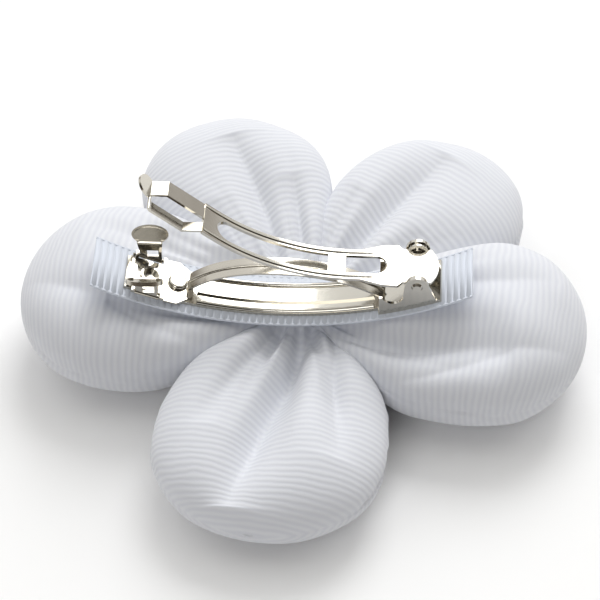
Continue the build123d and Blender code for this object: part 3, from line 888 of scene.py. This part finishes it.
# %% Camera
VIEW_AZIMUTH = math.radians(4.0)
VIEW_ELEVATION = math.radians(48.0)
VIEW_ROLL = math.radians(-1.3)
VIEW_DISTANCE = 0.49
VIEW_TARGET = Vector((0.1 * MM, -1.3 * MM, 17.0 * MM))
SENSOR_WIDTH_MM = 36.0
LENS_MM = 152.88
back = Vector(
    (
        math.sin(VIEW_AZIMUTH) * math.cos(VIEW_ELEVATION),
        -math.cos(VIEW_AZIMUTH) * math.cos(VIEW_ELEVATION),
        math.sin(VIEW_ELEVATION),
    )
)
camera_data = bpy.data.cameras.new("camera")
camera_data.sensor_width = SENSOR_WIDTH_MM
camera_data.lens = LENS_MM
camera_data.clip_start = 0.01
camera_data.clip_end = 20.0
camera = bpy.data.objects.new("camera", camera_data)
camera.location = VIEW_TARGET + back * VIEW_DISTANCE
look_at(camera, VIEW_TARGET)
camera.rotation_quaternion = camera.rotation_quaternion @ Quaternion((0, 0, 1), VIEW_ROLL)
bpy.context.scene.collection.objects.link(camera)
bpy.context.scene.camera = camera
print("lens mm:", LENS_MM)

# %% Floor
FLOOR_HALF = 4.0
floor_corners = [(x * FLOOR_HALF, y * FLOOR_HALF, 0) for x, y in ((-1, -1), (1, -1), (1, 1), (-1, 1))]
floor_mesh = bpy.data.meshes.new("floor")
floor_mesh.from_pydata(floor_corners, [], [(0, 1, 2, 3)])
floor = bpy.data.objects.new("floor", floor_mesh)
floor_material, floor_tree = new_material("white_sweep")
floor_shader = node(
    floor_tree, "ShaderNodeBsdfPrincipled", {"Base Color": linear("FAFAFA"), "Roughness": 0.9}
)
underneath = node(floor_tree, "ShaderNodeNewGeometry")
see_through = node(floor_tree, "ShaderNodeBsdfTransparent")
one_sided = node(
    floor_tree,
    "ShaderNodeMixShader",
    {0: underneath.outputs["Backfacing"], 1: floor_shader.outputs[0], 2: see_through.outputs[0]},
)
finish_material(floor_tree, one_sided)
floor_mesh.materials.append(floor_material)
bpy.context.scene.collection.objects.link(floor)
print("floor half side m:", FLOOR_HALF)

# %% [markdown]
# ## Studio surroundings
# Nickel shows what is round it, so the surroundings matter as much as the lamps. Behind the flower
# and above it is a broad bright screen, the camera's own side is dark, and a brown-grey band runs
# round the horizon. They are built from direction alone: one ramp from front to back.


# %% Studio surroundings
def studio_world():
    """Pale overhead light with a bright back, a dim front and a warm horizon."""
    made = bpy.data.worlds.new("studio")
    made.use_nodes = True
    tree = made.node_tree
    tree.nodes.clear()
    direction = node(tree, "ShaderNodeTexCoord")
    parts = node(tree, "ShaderNodeSeparateXYZ", {"Vector": direction.outputs["Generated"]})
    forward = node(
        tree,
        "ShaderNodeMath",
        {0: parts.outputs["Z"], 1: 0.55, 2: parts.outputs["Y"]},
        operation="MULTIPLY_ADD",
    )
    back_share = node(
        tree,
        "ShaderNodeMapRange",
        {"Value": forward.outputs[0], "From Min": -0.45, "From Max": 0.75},
    )
    ramp = node(tree, "ShaderNodeValToRGB", {"Fac": back_share.outputs[0]})
    stops = ramp.color_ramp
    stops.elements[0].color = linear("1C1A18")
    stops.elements[1].color = linear("FFFFFF")
    for place, colour in ((0.3, "54514D"), (0.52, "94908A"), (0.68, "F2F2EE")):
        stops.elements.new(place).color = linear(colour)
    height = node(
        tree,
        "ShaderNodeMapRange",
        {"Value": parts.outputs["Z"], "From Min": 0.02, "From Max": 0.35},
    )
    colour = node(
        tree,
        "ShaderNodeMix",
        {"Factor": height.outputs[0], "A": linear("7A6E62"), "B": ramp.outputs["Color"]},
        data_type="RGBA",
    )
    glow = node(tree, "ShaderNodeBackground", {"Color": colour.outputs["Result"], "Strength": 1.0})
    node(tree, "ShaderNodeOutputWorld", {"Surface": glow.outputs[0]})
    return made


LAMP_TARGET = Vector((0, 0, 0.01))
bpy.context.scene.world = studio_world()
soft_box("back_window", Vector((0.15, 0.7, 0.75)), LAMP_TARGET, 0.6, 5.5)
soft_box("front_fill", Vector((-0.25, -0.8, 0.7)), LAMP_TARGET, 0.5, 2.4)
bpy.context.scene.view_settings.view_transform = "Standard"
print("lamps:", len(bpy.data.lights))
